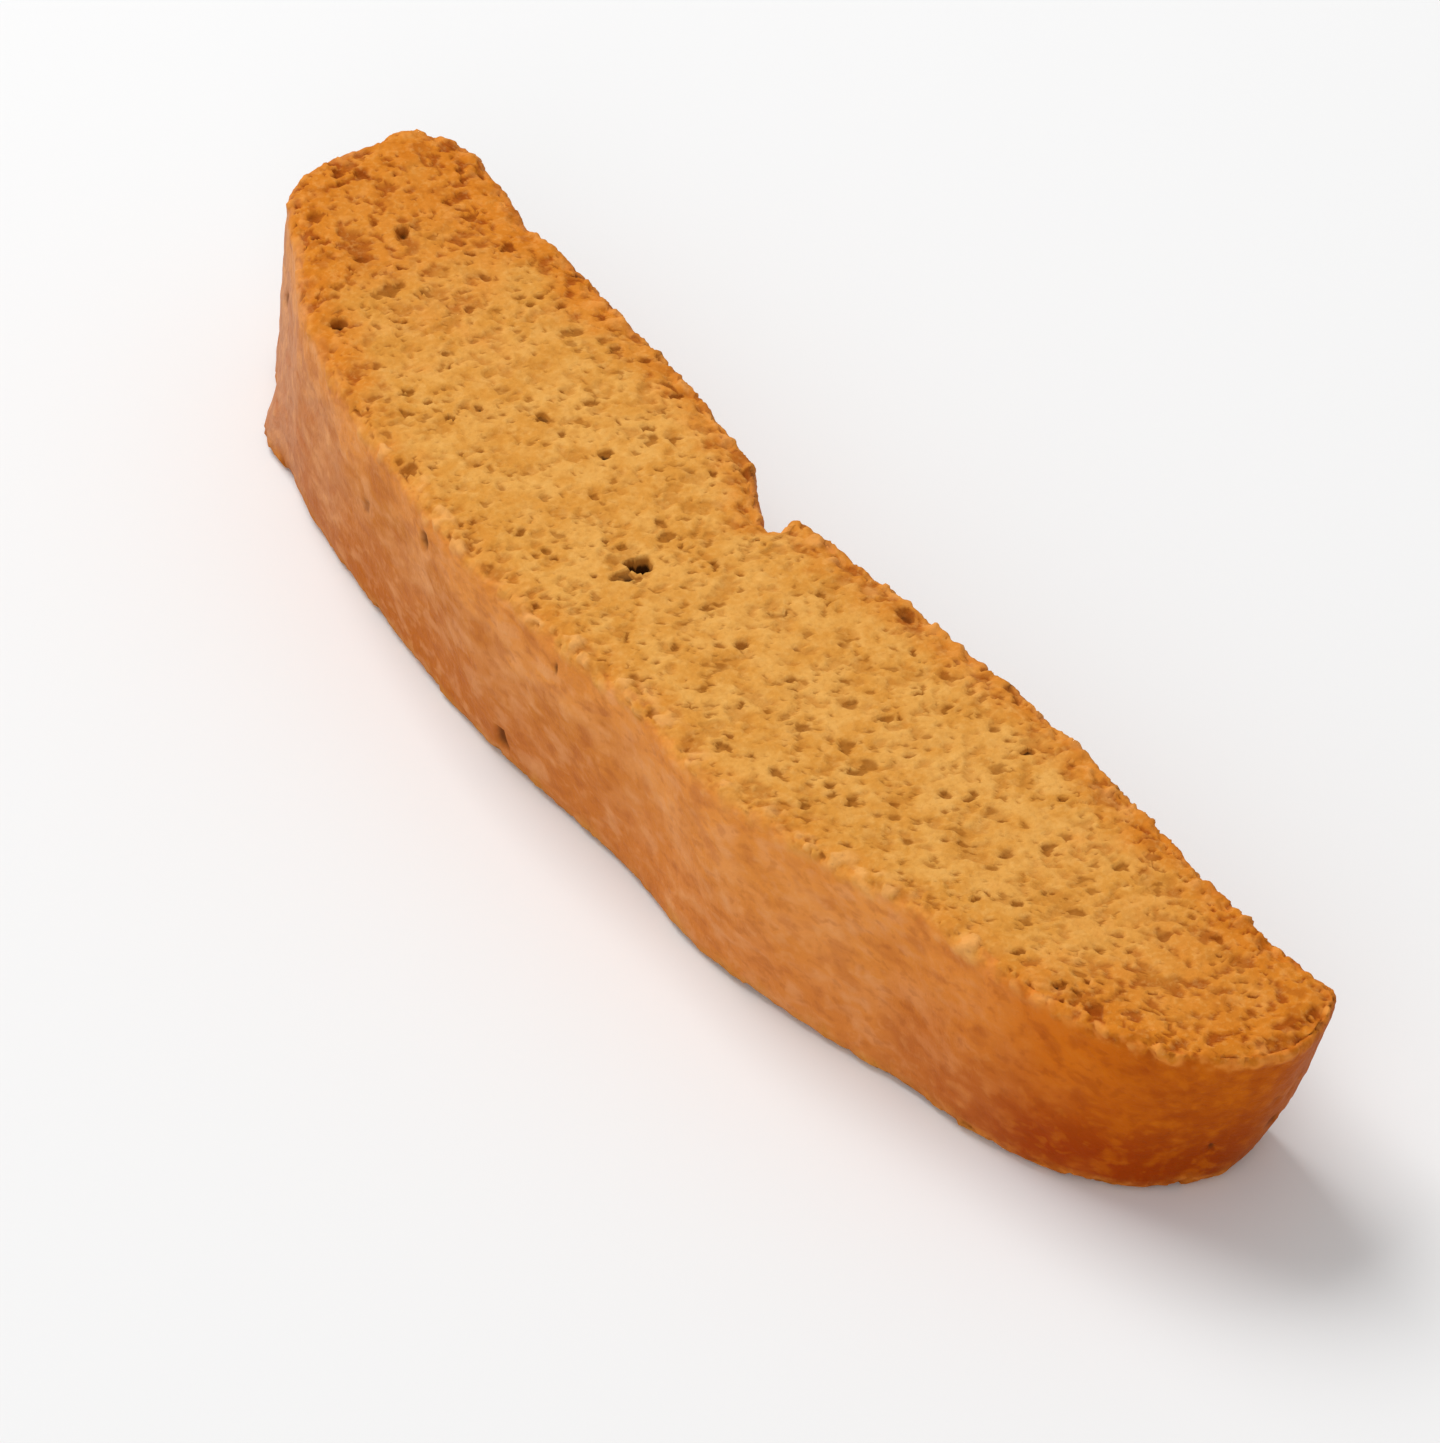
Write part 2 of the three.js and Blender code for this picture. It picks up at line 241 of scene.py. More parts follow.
def split_by_x(line, low, high):
    """A line that runs along the slice, cut at x = low and x = high into three."""
    forward = line if line[0, 0] < line[-1, 0] else line[::-1]
    x = forward[:, 0]
    at = {mark: np.array([[mark, np.interp(mark, x, forward[:, 1])]]) for mark in (low, high)}
    return (
        np.concatenate([forward[x < low], at[low]]),
        np.concatenate([at[low], forward[(x > low) & (x < high)], at[high]]),
        np.concatenate([at[high], forward[x > high]]),
    )


def along_steps():
    """How many of the steps along the slice lie before the notch, in it and after it."""
    before, after = NOTCH_FAR - STRAIGHT[-1, 0], STRAIGHT[0, 0] - NOTCH_END
    first = round(before / (before + after) * (ALONG - NOTCH_STEPS))
    return first, NOTCH_STEPS, ALONG - NOTCH_STEPS - first


def sides_at(z):
    """The four sides of the face's grid at height z, each running towards +X or +Y."""
    notch = notch_line(NOTCH_DRIFT * (z / THICKNESS - 1.0))
    low, high = notch[0, 0], notch[-1, 0]
    counts = along_steps()

    def joined(parts):
        """Three lines end to end, each respaced to its own count of steps."""
        lines = [respaced(part, count) for part, count in zip(parts, counts)]
        return np.concatenate([lines[0][:-1], lines[1][:-1], lines[2]])

    before, _, after = split_by_x(STRAIGHT, low, high)
    dome, straight = joined(split_by_x(DOME, low, high)), joined((before, notch, after))
    return dome, respaced(NEAR, ACROSS), straight, respaced(FAR[::-1], ACROSS)


def ring_of(dome, near, straight, far):
    """The four sides as one ring, counter-clockwise from the far end's domed corner. Averaging
    each place with its neighbours a few times rounds the notch's corners."""
    ring = np.concatenate([dome[:-1], near[:-1], straight[:0:-1], far[:0:-1]])
    for _ in range(CORNER_PASSES):
        ring = 0.5 * ring + 0.25 * (np.roll(ring, 1, axis=0) + np.roll(ring, -1, axis=0))
    return ring


def inset(ring, amount):
    """The ring moved inwards by amount along its own in-plane normal."""
    tangent = np.roll(ring, -1, axis=0) - np.roll(ring, 1, axis=0)
    tangent /= length_of(tangent)[:, None]
    inward = np.stack([-tangent[:, 1], tangent[:, 0]], axis=1)
    return ring + amount * inward


# ------------------------------------------------------------------ the crust's own form

def leaned(points):
    """Points of the upright slice moved as the real crust stands: x falls by the near end's lean
    and y by the near half's spread, in step with depth; the far end's domed corner spreads with
    depth to a power, and at its foot a small lip, a bell curve of the distance from its middle,
    stands out the same way; and low swells, two sines of the place, push the wall out, most at
    half its height."""
    x, y, z = points.T
    depth = 1.0 - z / THICKNESS
    half = LENGTH / 2
    near = smooth(half - NEAR_REACH, half, x)
    far = smooth(half - FAR_REACH, half, -x) * smooth(-WIDTH / 4, WIDTH / 4, -y)
    lean = NEAR_LEAN * near * depth
    spread = NEAR_SPREAD * smooth(half - SPREAD_REACH, half, x) * depth
    flare = FAR_FLARE * far * np.clip(depth, 0, 1) ** FLARE_POWER
    flare = flare + FOOT_LIP * np.exp(-((length_of(points - LIP_PLACE) / LIP_REACH) ** 2))
    long = np.sin(x / LONG_SWELL[0] + y / LONG_SWELL[1])
    short = np.sin(x / SHORT_SWELL[0] - y / SHORT_SWELL[1] + z / SHORT_SWELL[2])
    swell = SWELL * np.sin(math.pi * z / THICKNESS) * (1 + long + SHORT_SHARE * short)
    outward = np.stack([x * (WIDTH / LENGTH), y], axis=1)
    outward /= np.maximum(length_of(outward), 1e-6)[:, None]
    moved = points.copy()
    moved[:, 0] += FLARE_DIRECTION[0] * flare + swell * outward[:, 0] - lean
    moved[:, 1] += FLARE_DIRECTION[1] * flare + swell * outward[:, 1] - spread
    return moved


# ------------------------------------------------------------------ the closed grid

def evened(grid):
    """The grid with its border kept and its inside evened out by Winslow's rule, which does not
    fold: with E, W, N and S the neighbours, u = (E - W) / 2, v = (N - S) / 2 and K the corners
    NE - NW - SE + SW, each place becomes (v.v (E + W) + u.u (N + S) - u.v K / 2) / 2(u.u + v.v)."""
    grid = grid.copy()
    for _ in range(EVEN_PASSES):
        east, west, north, south = grid[2:, 1:-1], grid[:-2, 1:-1], grid[1:-1, 2:], grid[1:-1, :-2]
        corners = grid[2:, 2:] - grid[:-2, 2:] - grid[2:, :-2] + grid[:-2, :-2]
        u, v = (east - west) / 2, (north - south) / 2
        uu, vv, uv = ((p * q).sum(-1, keepdims=True) for p, q in ((u, u), (v, v), (u, v)))
        pull = vv * (east + west) + uu * (north + south) - uv * corners / 2
        grid[1:-1, 1:-1] = pull / (2 * (uu + vv))
    return grid


def face_patch(z, stride):
    """A cut face's grid at height z, with every stride-th step: the Coons patch of its four inset
    sides, that is the blend of the two long sides plus the blend of the two short ones less the
    blend of the corners, evened out."""
    ring = inset(ring_of(*sides_at(z)), RIM_ROUND)[::stride]
    closed = np.concatenate([ring, ring[:1]])
    along, across = ALONG // stride, ACROSS // stride
    a, b, c = along, along + across, 2 * along + across
    low, right = closed[: a + 1], closed[a : b + 1]
    high, left = closed[b : c + 1][::-1], closed[c:][::-1]
    u = np.linspace(0.0, 1.0, along + 1)[:, None, None]
    v = np.linspace(0.0, 1.0, across + 1)[None, :, None]
    long_blend = (1 - v) * low[:, None] + v * high[:, None]
    short_blend = (1 - u) * left[None, :] + u * right[None, :]
    corners = (1 - v) * ((1 - u) * low[0] + u * low[-1]) + v * ((1 - u) * high[0] + u * high[-1])
    flat = evened(long_blend + short_blend - corners)
    return np.concatenate([flat, np.full(flat.shape[:2] + (1,), z)], axis=2)


def wall_rings(rows, stride):
    """The wall's rings, each as far in and as high as its row says, with every stride-th step."""
    rings = []
    for amount, z in rows:
        ring = inset(ring_of(*sides_at(z)), amount)[::stride]
        rings.append(np.column_stack([ring, np.full(len(ring), z)]))
    return np.array(rings)


def wall_rows():
    """How far in and how high each row of the wall is, from the upper rim down to the lower one:
    the upper fine ones, on a quarter circle and just below it, and then the coarser ones, which
    end in the lower quarter circle. The rims themselves belong to the cut faces."""
    turn = np.linspace(0.0, math.pi / 2, ROUND_ROWS + 1)[1:]
    rounded = [(RIM_ROUND * (1 - math.sin(t)), RIM_ROUND * (1 - math.cos(t))) for t in turn]
    top, bottom = THICKNESS - RIM_ROUND, RIM_ROUND
    fine = np.linspace(top, top - FINE_DEPTH, FINE_ROWS + 1)[1:]
    coarse = np.linspace(top - FINE_DEPTH, bottom, WALL_ROWS + 1)[1:-1]
    upper = [(amount, THICKNESS - drop) for amount, drop in rounded] + [(0.0, z) for z in fine]
    return upper, [(0.0, z) for z in coarse] + rounded[::-1]


def quads_of(grid):
    """The quads of a grid of place numbers, counter-clockwise as u and v turn."""
    corners = [grid[:-1, :-1], grid[1:, :-1], grid[1:, 1:], grid[:-1, 1:]]
    return np.stack(corners, axis=-1).reshape(-1, 4)


def rim_of(grid):
    """The border of a grid of place numbers, as a ring."""
    return np.concatenate([grid[:-1, 0], grid[-1, :-1], grid[:0:-1, -1], grid[0, :0:-1]])


def bands_of(rings):
    """The quads between each ring of place numbers and the next one down."""
    nxt = np.roll(rings, -1, axis=1)
    return np.stack([rings[:-1], rings[1:], nxt[1:], nxt[:-1]], axis=-1).reshape(-1, 4)


def joint_of(fine, coarse):
    """The triangles between a fine ring and the ring of half its steps below it, three for each
    coarse step: two that stand on the fine ring and one on the coarse step."""
    start, middle, end = fine[::2], fine[1::2], np.roll(fine, -2)[::2]
    nxt = np.roll(coarse, -1)
    triangles = [(start, coarse, middle), (coarse, nxt, middle), (nxt, end, middle)]
    return np.concatenate([np.stack(corners, axis=-1) for corners in triangles])


def rim_distance(patch):
    """How far each place of a face's grid is from its border, measured along the grid's lines."""
    nearest = np.full(patch.shape[:2], np.inf)
    for axis in (0, 1):
        steps = length_of(np.diff(patch, axis=axis))
        start = np.zeros_like(np.take(steps, [0], axis=axis))
        run = np.concatenate([start, np.cumsum(steps, axis=axis)], axis=axis)
        nearest = np.minimum(nearest, np.minimum(run, np.take(run, [-1], axis=axis) - run))
    return nearest


def closed_grid():
    """Places and faces of the whole slice: the upper patch, the wall's fine rings, its coarser
    ones and the lower patch, which share their rims, with every face counter-clockwise seen from
    outside. With them goes each place's distance from the nearest rim, below zero on the wall."""
    upper_rows, lower_rows = wall_rows()
    upper, lower = face_patch(THICKNESS, 1), face_patch(0.0, COARSER)
    fine, coarse = wall_rings(upper_rows, 1), wall_rings(lower_rows, COARSER)
    parts = [upper, fine, coarse, lower]
    counts = [part.shape[0] * part.shape[1] for part in parts]
    top, fine_rings, coarse_rings, bottom = (
        start + np.arange(count).reshape(part.shape[:2])
        for start, count, part in zip(np.cumsum([0] + counts), counts, parts)
    )
    quads = np.concatenate([
        quads_of(top),
        bands_of(np.concatenate([rim_of(top)[None], fine_rings])),
        bands_of(np.concatenate([coarse_rings, rim_of(bottom)[None]])),
        quads_of(bottom)[:, ::-1],
    ])
    triangles = joint_of(fine_rings[-1], coarse_rings[0])
    places = np.concatenate([part.reshape(-1, 3) for part in parts])
    wall_z = np.concatenate([fine[..., 2].ravel(), coarse[..., 2].ravel()])
    below = -np.minimum(wall_z, THICKNESS - wall_z)
    from_edge = np.concatenate([rim_distance(upper).ravel(), below, rim_distance(lower).ravel()])
    return places, [quads, triangles], from_edge


# ------------------------------------------------------------------ crumb, bubbles and grain

def scrambled(cells, salt):
    """A number from 0 to 1 for each cell of whole numbers, by mixing its three indices."""
    words = cells.astype(np.int64).astype(np.uint32)
    mixed = np.uint32(salt * SALT_FACTOR % 2**32)
    for axis, factor in enumerate(AXIS_FACTORS):
        mixed = mixed ^ words[..., axis] * np.uint32(factor)
    for shift, factor in MIXING:
        mixed = (mixed ^ (mixed >> np.uint32(shift))) * np.uint32(factor)
    return (mixed ^ (mixed >> np.uint32(LAST_SHIFT))).astype(np.float64) / 2**32


def value_noise(points, size, salt):
    """Smooth noise from -1 to 1: random values at the corners of cubes of that size, blended with
    the smooth step along each axis."""
    scaled = points / size
    base = np.floor(scaled)
    share = smooth(0.0, 1.0, scaled - base)
    total = 0.0
    for corner in itertools.product((0, 1), repeat=3):
        weight = np.prod(np.where(np.array(corner) == 1, share, 1 - share), axis=-1)
        total = total + weight * scrambled(base + corner, salt)
    return 2 * total - 1


def rough_noise(points, size, octaves, salt):
    """Octaves of value noise, each half the size and six tenths the height of the one before."""
    weights = [0.6**k for k in range(octaves)]
    layers = [w * value_noise(points, size / 2**k, salt + k) for k, w in enumerate(weights)]
    return sum(layers) / sum(weights)


def bubble_cut(points, normals, cell, share, radii, salt):
    """How deep the open bubbles cut in below each point. Every cell of a cubic lattice holds one
    round bubble of random place and radius, or none; where the surface passes through a bubble,
    it drops along its normal n to the bubble's far wall, t = b + sqrt(b^2 - |p - c|^2 + r^2)
    with b = (p - c).n."""
    base = np.floor(points / cell)
    deepest = np.zeros(len(points))
    for offset in itertools.product((-1, 0, 1), repeat=3):
        here = base + offset
        jitter = np.stack([scrambled(here, salt + k) for k in range(3)], axis=-1)
        radius = radii[0] + (radii[1] - radii[0]) * scrambled(here, salt + 3) ** 2
        present = scrambled(here, salt + 4) < share
        away = points - (here + jitter) * cell
        along = (away * normals).sum(-1)
        under = along**2 - (away**2).sum(-1) + radius**2
        inside = present & ((away**2).sum(-1) < radius**2)
        depth = np.where(inside, along + np.sqrt(np.maximum(under, 0.0)), 0.0)
        deepest = np.maximum(deepest, depth)
    return deepest


def named_bubbles(points, normals):
    """How deep the listed bubbles cut in: each one's middle lies on the surface, and the drop to a
    ball's far wall, t = b + sqrt(b^2 - |p - c|^2 + r^2) as above, is multiplied by its depth."""
    deepest = np.zeros(len(points))
    upper = [(x, y, THICKNESS, radius, depth) for x, y, radius, depth in UPPER_BUBBLES]
    for x, y, z, radius, depth in upper + WALL_BUBBLES:
        away = points - (x, y, z)
        along = (away * normals).sum(-1)
        level = (away**2).sum(-1)
        drop = along + np.sqrt(np.maximum(along**2 - level + radius**2, 0.0))
        deepest = np.maximum(deepest, np.where(level < radius**2, depth * drop, 0.0))
    return deepest


def mesh_of(name, places, faces, attributes=None):
    """A mesh object from places in millimetres, arrays of faces and numbers for each place."""
    mesh = bpy.data.meshes.new(name)
    mesh.vertices.add(len(places))
    mesh.vertices.foreach_set("co", (places * MM).ravel())
    corners = np.concatenate([group.ravel() for group in faces])
    sizes = np.concatenate([np.full(len(group), group.shape[1]) for group in faces])
    mesh.loops.add(len(corners))
    mesh.loops.foreach_set("vertex_index", corners)
    mesh.polygons.add(len(sizes))
    mesh.polygons.foreach_set("loop_start", np.cumsum(sizes) - sizes)
    mesh.polygons.foreach_set("use_smooth", np.ones(len(sizes), bool))
    mesh.update(calc_edges=True)
    mesh.validate()
    for title, values in (attributes or {}).items():
        layer = mesh.attributes.new(title, "FLOAT", "POINT")
        layer.data.foreach_set("value", values.astype(np.float32))
    piece = bpy.data.objects.new(name, mesh)
    bpy.context.scene.collection.objects.link(piece)
    return piece


def outward_normals(places, faces):
    """Each place's normal: the sum of the normals of the faces round it, made one long."""
    total = np.zeros_like(places)
    for group in faces:
        spread = places[group[:, 1:]] - places[group[:, :1]]
        normal = np.cross(spread[:, :-1], spread[:, 1:]).sum(1)
        for corner, axis in itertools.product(range(group.shape[1]), range(3)):
            total[:, axis] += np.bincount(group[:, corner], normal[:, axis], len(places))
    return total / np.maximum(length_of(total), 1e-9)[:, None]


def relief_of(plain, normals, from_edge):
    """How far each place of the smooth slice stands out along its normal, and the numbers that the
    finish reads there. cut is 1 on crumb and 0 on crust, dome is 1 on the domed side and 0 on the
    straight one, edge falls away from the rims, pit tells how deep a bubble or speck is and so how
    much painted shade the finish puts in it, lump is the finer relief, and crumbs and torn are 1
    where crumbs cling and where they came away.

    The height is the wall's own standing out and the crumbs' less the drop, which is the deepest
    of the hollows plus grain on the crumb, specks, waves, lumps and grain on the crust, never
    less than a listed bubble's depth, and the chips of the rims on top of that."""
    ragged = rough_noise(plain, *RAGGED)
    cut = smooth(*CRUMB_FADE, from_edge + WANDERING * ragged)
    dome = 1 - smooth(*STRAIGHT_FADE, normals[:, 1])
    porous = np.clip(cut + STRAIGHT_POROUS * (1 - dome), 0, 1)

    warp = np.stack([rough_noise(plain, *noise) for noise in WARPS], axis=1)
    bent = plain + BEND * warp
    rare = RARE_SHARE * bubble_cut(bent, normals, *RARE)
    middling = np.minimum(bubble_cut(bent, normals, *MIDDLING), MIDDLING_DEPTH)
    small = np.minimum(bubble_cut(bent, normals, *SMALL), SMALL_DEPTH)
    specks = np.minimum(bubble_cut(bent, normals, *SPECKS), SPECK_DEPTH)
    named = named_bubbles(plain + NAMED_BEND * warp, normals)
    narrow = smooth(*NARROW_FADE, rough_noise(bent, *NARROW_TEAR))
    torn = np.maximum(narrow, smooth(*BROAD_FADE, rough_noise(bent, *BROAD_TEAR)))
    wave, lumps, grain = (rough_noise(plain, *noise) for noise in (WAVE, LUMPS, GRAIN))

    off_rim = np.abs(from_edge)
    upper = smooth(*UPPER_FADE, plain[:, 2])
    chips = smooth(CHIP_REACH, 0.0, off_rim)
    chips = chips * np.clip(CHIP_MORE + rough_noise(plain, *CHIPPING), 0, 1)
    in_crumb = CRUST_CHIPS + (1 - CRUST_CHIPS) * porous
    chips *= in_crumb * (LOWER_CHIPS + (1 - LOWER_CHIPS) * upper) * CHIP_DEPTH
    crumbs = smooth(CRUMB_REACH, CLING_FULL, off_rim)
    crumbs = crumbs * smooth(*CLING_FADE, rough_noise(plain, *CRUMBLING))

    hollow = np.maximum(np.maximum(rare, middling), np.maximum(TORN_DEPTH * torn, small))
    crumb_drop = hollow + GRAIN_DEPTH * (1 + grain)
    crust_drop = SPECK_SHARE * specks + WAVE_DEPTH * (1 + wave) + LUMP_DEPTH * (1 + lumps)
    crust_drop = crust_drop + CRUST_GRAIN_DEPTH * (1 + grain)
    drop = np.maximum(porous * crumb_drop + (1 - porous) * crust_drop, named) + chips
    proud = CRUST_PROUD * smooth(0.0, PROUD_FROM, -from_edge) + CRUMB_HEIGHT * upper * crumbs

    # Painted shade: the deeper a bubble cuts, the darker the finish colours it.
    shade = np.maximum(np.maximum(rare / RARE_DARK, middling / MIDDLING_DARK), small / SMALL_DARK)
    hole_shade = np.maximum(porous * shade, NAMED_DARK * named)
    hot_side = COOL_TOAST + HOT_EXTRA * smooth(*HOT_FADE, plain[:, 1])
    numbers = {
        "cut": cut,
        "dome": dome,
        "edge": hot_side * smooth(TOAST_REACH, 0.0, off_rim + TOAST_WANDERING * ragged),
        "pit": np.clip(hole_shade + (1 - porous) * specks / SPECK_DEPTH, 0, 2),
        "lump": porous * grain + (1 - porous) * lumps,
        "crumbs": crumbs,
        "torn": torn,
    }
    return proud - drop, numbers


def make_rusk():
    """The whole rusk as one closed surface: the upright slice is leaned, moved so that its box has
    the solid's middle, and then each place p becomes p + height n along its normal n."""
    upright, faces, from_edge = closed_grid()
    plain = leaned(upright)
    plain[:, :2] -= ((plain.min(0) + plain.max(0)) / 2 - (LOW + HIGH) / 2)[:2]
    normals = outward_normals(plain, faces)
    height, numbers = relief_of(plain, normals, from_edge)
    return mesh_of("rusk_body", plain + normals * height[:, None], faces, numbers)


# ------------------------------------------------------------------ shader expressions

class Socket:
    """One output of a shader node. Sums, products and the like of it add Math nodes."""

    def __init__(self, graph, output):
        self.graph, self.output = graph, output

    def _math(self, operation, first, second):
        return self.graph.node("ShaderNodeMath", {"operation": operation}, [first, second])

    def __add__(self, other):
        return self._math("ADD", self, other)

    def __sub__(self, other):
        return self._math("SUBTRACT", self, other)

    def __rsub__(self, other):
        return self._math("SUBTRACT", other, self)

    def __mul__(self, other):
        return self._math("MULTIPLY", self, other)

    __radd__, __rmul__ = __add__, __mul__


class Graph:
    """A material under construction, ending in a Principled shader."""

    def __init__(self, name):
        self.material = bpy.data.materials.new(name)
        self.material.use_nodes = True
        self.tree = self.material.node_tree
        self.tree.nodes.clear()

    def node(self, kind, settings=None, values=None, output=0):
        """Adds a node: settings first, then each socket's number, colour or link."""
        made = self.tree.nodes.new(kind)
        for key, value in (settings or {}).items():
            setattr(made, key, value)
        pairs = values.items() if isinstance(values, dict) else enumerate(values or [])
        for key, value in pairs:
            if isinstance(value, Socket):
                self.tree.links.new(value.output, made.inputs[key])
            else:
                made.inputs[key].default_value = value
        return Socket(self, made.outputs[output] if made.outputs else None)

    def attribute(self, name):
        """One of the numbers that the mesh holds for each place."""
        return self.node("ShaderNodeAttribute", {"attribute_name": name}, output="Fac")

    def place(self):
        """The place on the object, in metres."""
        return self.node("ShaderNodeTexCoord", output="Object")

    def coordinate(self, axis):
        """One of the place's three numbers, in millimetres."""
        return self.node("ShaderNodeSeparateXYZ", values=[self.place()], output=axis) * (1 / MM)

    def noise(self, size, roughness=0.5, distortion=0.0, drawn_out=1.0):
        """Noise from 0 to 1 whose lumps are about size mm across and drawn_out times as long."""
        shape = (1 / drawn_out, 1.0, 1.0)
        multiply = {"operation": "MULTIPLY"}
        values = {
            "Vector": self.node("ShaderNodeVectorMath", multiply, [self.place(), shape]),
            "Scale": 1 / (size * MM),
            "Detail": 2.0,
            "Roughness": roughness,
            "Distortion": distortion,
        }
        return self.node("ShaderNodeTexNoise", values=values)

    def ranged(self, value, low, high, start=0.0, end=1.0):
        """The value's range low to high, eased onto start to end."""
        settings = {"interpolation_type": "SMOOTHSTEP"}
        values = {0: value, 1: low, 2: high, 3: start, 4: end}
        return self.node("ShaderNodeMapRange", settings, values)

    def blend(self, share, first, second):
        """The colour that lies this share of the way from the first to the second."""
        settings = {"data_type": "RGBA"}
        return self.node("ShaderNodeMix", settings, {0: share, 6: first, 7: second}, output=2)

    def touched(self, base, tint, value, low, high, most, strength=None):
        """The base colour with a touch of the tint: none where the value is low, most of it where
        it is high, and that times the strength if one is given."""
        share = self.ranged(value, low, high, 0.0, most)
        return self.blend(share if strength is None else share * strength, base, tint)

    def bump(self, height, distance, strength):
        """A normal for relief of this height, at most distance millimetres."""
        values = {"Height": height, "Distance": distance * MM, "Strength": strength}
        return self.node("ShaderNodeBump", values=values)

    def finish(self, values):
        """Closes the graph with a Principled shader whose sockets take these values."""
        shader = self.node("ShaderNodeBsdfPrincipled", values=values)
        self.node("ShaderNodeOutputMaterial", values={"Surface": shader})
        return self.material


def colour(red, green, blue):
    """A display colour from 0 to 255 as the linear colour that shaders use."""
    share = np.array([red, green, blue]) / 255.0
    linear = np.where(share <= 0.04045, share / 12.92, ((share + 0.055) / 1.055) ** 2.4)
    return (*linear.tolist(), 1.0)


# Where one look gives way to another, in mm along X or up Z.
FAR_TOAST, NEAR_TOAST = (28.0, 60.0), (34.0, 68.0)  # from the middle towards either end
# FAR_PINK_AND_SHEEN: where the far end's pinker crust and its painted sheen set in.
FAR_PINK_AND_SHEEN, NEAR_CRUST = (30.0, 60.0), (32.0, 60.0)
# NEAR_TIP_SHADE: where painted shade darkens the near end's tip.
NEAR_HALF, NEAR_TIP_SHADE = (-25.0, 35.0), (55.0, 63.0)
LOW_WALL, RIM_BAND = (13.0, 3.0), (11.0, 15.5)
# FOOT_BROWN_AND_SHADE, FOOT_NEAR and FOOT_FAR: where the far half's foot darkens, partly browner
# crust and partly painted contact shade.
FOOT_BROWN_AND_SHADE, FOOT_NEAR, FOOT_FAR = (5.5, 1.5), (-5.0, -25.0), (-60.0, -48.0)
PALE_CRUMBS_AND_GLINT = (4.0, 12.0)  # clinging rim crumbs and their painted glint are paler the higher they are

# How far, in mm, each noise moves the places above.
MOTTLE_WANDER, PATCH_WANDER = 18, 44
BAND_MOTTLE_WANDER, BAND_TONE_WANDER = 8, 14


def read_spot(g):
    """What both crumb and crust are coloured by at a spot: the numbers from relief_of, the place
    along the slice and up, the streaks and the grain, how uneven the browning is there, and how
    toasted the crumb, how low the wall and how deeply browned the near end's crust is, a brown
    that is partly painted shade low down."""
    names = ("cut", "dome", "edge", "pit", "lump", "crumbs", "torn")
    spot = SimpleNamespace(**{name: g.attribute(name) for name in names})
    spot.along, spot.height = g.coordinate("X"), g.coordinate("Z")
    spot.patches = g.noise(6.0)
    spot.mottle = g.noise(2.1, distortion=0.2)
    spot.streaks = g.noise(0.9, distortion=0.2, drawn_out=1.6)
    spot.grain = g.noise(0.5, roughness=0.6)
    spot.uneven = (spot.mottle - 0.5) * MOTTLE_WANDER + (spot.patches - 0.5) * PATCH_WANDER
    far_end = g.ranged(spot.uneven - spot.along, *FAR_TOAST)
    near_end = g.ranged(spot.uneven + spot.along, *NEAR_TOAST)
    spot.toast = g.ranged(far_end + near_end + spot.edge * 0.75, 0.0, 1.3)
    spot.low = g.ranged(spot.height, *LOW_WALL)
    spot.near = g.ranged(spot.uneven * 0.3 + spot.along + spot.low * 2, *NEAR_CRUST)
    spot.deep = spot.near * (spot.dome * 0.2 + 0.8)
    return spot


def crumb_colour(g, spot):
    """Golden crumb with paler patches and brown flecks, all browner where it is toasted, with a
    painted glint on its raised grain and painted shade in its pores, nearly black in the deepest
    holes."""
    toast, mottle = spot.toast, spot.mottle
    tone = g.noise(3.0)
    spots = g.noise(1.15, distortion=0.2)
    pale_or_dark = g.ranged(spot.patches * 0.4 + tone * 0.6, 0.42, 0.58)
    plain = g.blend(pale_or_dark, colour(209, 143, 60), colour(217, 156, 75))
    browned = g.blend(tone, colour(196, 108, 22), colour(210, 130, 40))
    pale_patch = g.blend(toast, colour(226, 170, 92), colour(220, 140, 56))
    pale_spot = g.blend(toast, colour(228, 172, 94), colour(228, 152, 74))
    fleck = g.blend(toast, colour(174, 106, 32), colour(148, 64, 8))
    grain_glint, dark_grain = colour(236, 186, 108), colour(176, 104, 30)
    pore_shade = g.blend(toast, colour(150, 88, 22), colour(140, 64, 8))
    hole_shade = colour(50, 24, 8)

    crumb = g.blend(toast, plain, browned)
    crumb = g.touched(crumb, pale_patch, mottle, 0.5, 0.66, 0.25)
    crumb = g.touched(crumb, pale_spot, spots, 0.54, 0.66, 0.3)
    crumb = g.touched(crumb, fleck, mottle, 0.46, 0.34, 0.2, toast + 0.8)
    crumb = g.blend(spot.torn * g.ranged(toast, 0.0, 1.0, 0.4, 0.8), crumb, fleck)
    # Painted glint where the fine grain, which the bump also raises, is highest.
    crumb = g.touched(crumb, grain_glint, spot.grain, 0.5, 0.7, 0.15)
    crumb = g.touched(crumb, dark_grain, spot.grain, 0.48, 0.3, 0.2)
    # Painted shade in the pores and a painted shadow, nearly black, in the deepest holes, by their
    # depth.
    crumb = g.touched(crumb, pore_shade, spot.pit, 0.1, 0.65, 0.75)
    return g.touched(crumb, hole_shade, spot.pit, 0.95, 1.4, 0.9)


